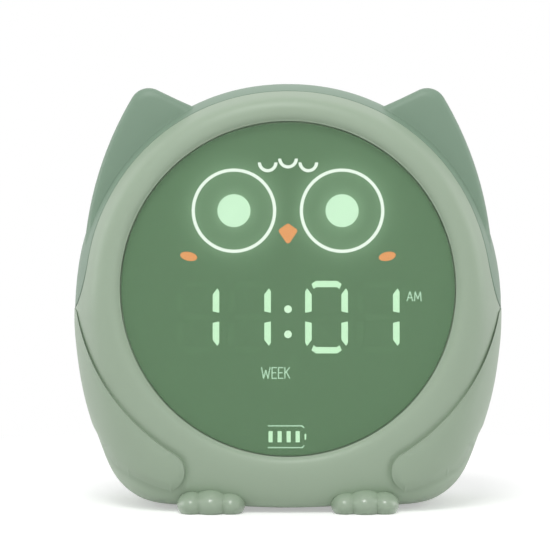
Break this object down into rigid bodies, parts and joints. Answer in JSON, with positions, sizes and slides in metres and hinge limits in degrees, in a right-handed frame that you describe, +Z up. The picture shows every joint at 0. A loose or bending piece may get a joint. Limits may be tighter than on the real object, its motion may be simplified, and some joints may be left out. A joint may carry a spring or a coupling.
{
  "type": "alarm clock",
  "caption": "Owl-shaped bedside alarm clock and night light: round lit display in a two-tone housing with ears, wings and toed feet, rear keys, speaker and charging port.",
  "frame": {"origin": "centre of the bounding box's underside, on the surface that the clock stands on", "axes": "+Z up, -Y out of the display towards the viewer, +X to the viewer's right"},
  "size_m": [0.1383, 0.0764, 0.1353],
  "materials": {
    "shell": "satin moulded ABS, light sage green",
    "hood": "satin moulded ABS, darker sage green",
    "lens": "smooth tinted acrylic",
    "mask": "printed green film",
    "tape": "double-sided tape",
    "reflector": "white moulded plastic",
    "lit": "milky light guide, lit pale mint",
    "unlit": "milky light guide, dark",
    "orange_lit": "milky orange light guide, lit",
    "guide": "milky light guide ring",
    "board": "green solder mask on glass epoxy",
    "led": "white LED chips",
    "screw": "zinc-plated steel",
    "foot": "glossier light sage plastic",
    "pad": "silicone rubber",
    "button": "satin light sage plastic",
    "plunger": "black nylon",
    "switch": "black plastic switch bodies",
    "port_metal": "stamped nickel-plated shell",
    "frame_metal": "pressed steel basket",
    "cone": "black paper cone",
    "magnet": "ferrite magnet",
    "gasket": "foam ring",
    "cell": "heat-shrink sleeve over a steel can",
    "copper": "copper foil",
    "lead_red": "red insulation",
    "lead_black": "black insulation",
    "ribbon": "flat flexible cable"
  },
  "bodies": {
    "housing": {"front_shell": "shell", "rear_hood": "hood", "lens": "lens", "lens_tape": "tape", "display_mask": "mask", "light_box": "reflector", "lit_digits": "lit", "unlit_digits": "unlit", "colon_dots": "lit", "eye_lights": "lit", "face_discs": "lit", "brow_marks": "lit", "beak_light": "orange_lit", "cheek_lights": "orange_lit", "battery_gauge": "lit", "word_lights": "lit", "night_light_guide": "guide", "display_board": "board", "display_leds": "led", "night_light_leds": "led", "box_screws": "screw", "housing_screws": "screw", "board_screws": "screw", "left_foot": "foot", "right_foot": "foot", "rear_pads": "pad", "button_switches": "switch", "control_board": "board", "usb_shell": "port_metal", "usb_tongue": "switch", "power_switch": "switch", "speaker_frame": "frame_metal", "speaker_cone": "cone", "speaker_magnet": "magnet", "speaker_gasket": "gasket", "battery_cradle": "reflector", "battery_cell": "cell", "battery_strap": "tape", "touch_plate": "copper", "speaker_lead": "lead_red", "battery_lead": "lead_red", "touch_lead": "lead_black", "display_ribbon": "ribbon"},
    "time_key": {"time_button": "button", "time_plunger": "plunger"},
    "minus_key": {"minus_button": "button", "minus_plunger": "plunger"},
    "light_key": {"light_button": "button", "light_plunger": "plunger"},
    "plus_key": {"plus_button": "button", "plus_plunger": "plunger"},
    "alarm_key": {"alarm_button": "button", "alarm_plunger": "plunger"},
    "power_slide": {"power_slider": "button"}
  },
  "joints": [
    {"name": "time_press", "type": "slide", "parent": "housing", "child": "time_key", "axis": [0, -1, 0], "range_m": [0, 0.0005], "stiffness_N_per_m": 800, "springref_m": -0.0005},
    {"name": "minus_press", "type": "slide", "parent": "housing", "child": "minus_key", "axis": [0, -1, 0], "range_m": [0, 0.0005], "stiffness_N_per_m": 800, "springref_m": -0.0005},
    {"name": "light_press", "type": "slide", "parent": "housing", "child": "light_key", "axis": [0, -1, 0], "range_m": [0, 0.0005], "stiffness_N_per_m": 800, "springref_m": -0.0005},
    {"name": "plus_press", "type": "slide", "parent": "housing", "child": "plus_key", "axis": [0, -1, 0], "range_m": [0, 0.0005], "stiffness_N_per_m": 800, "springref_m": -0.0005},
    {"name": "alarm_press", "type": "slide", "parent": "housing", "child": "alarm_key", "axis": [0, -1, 0], "range_m": [0, 0.0005], "stiffness_N_per_m": 800, "springref_m": -0.0005},
    {"name": "power_slide_travel", "type": "slide", "parent": "housing", "child": "power_slide", "axis": [1, 0, 0], "range_m": [0, 0.004]}
  ]
}
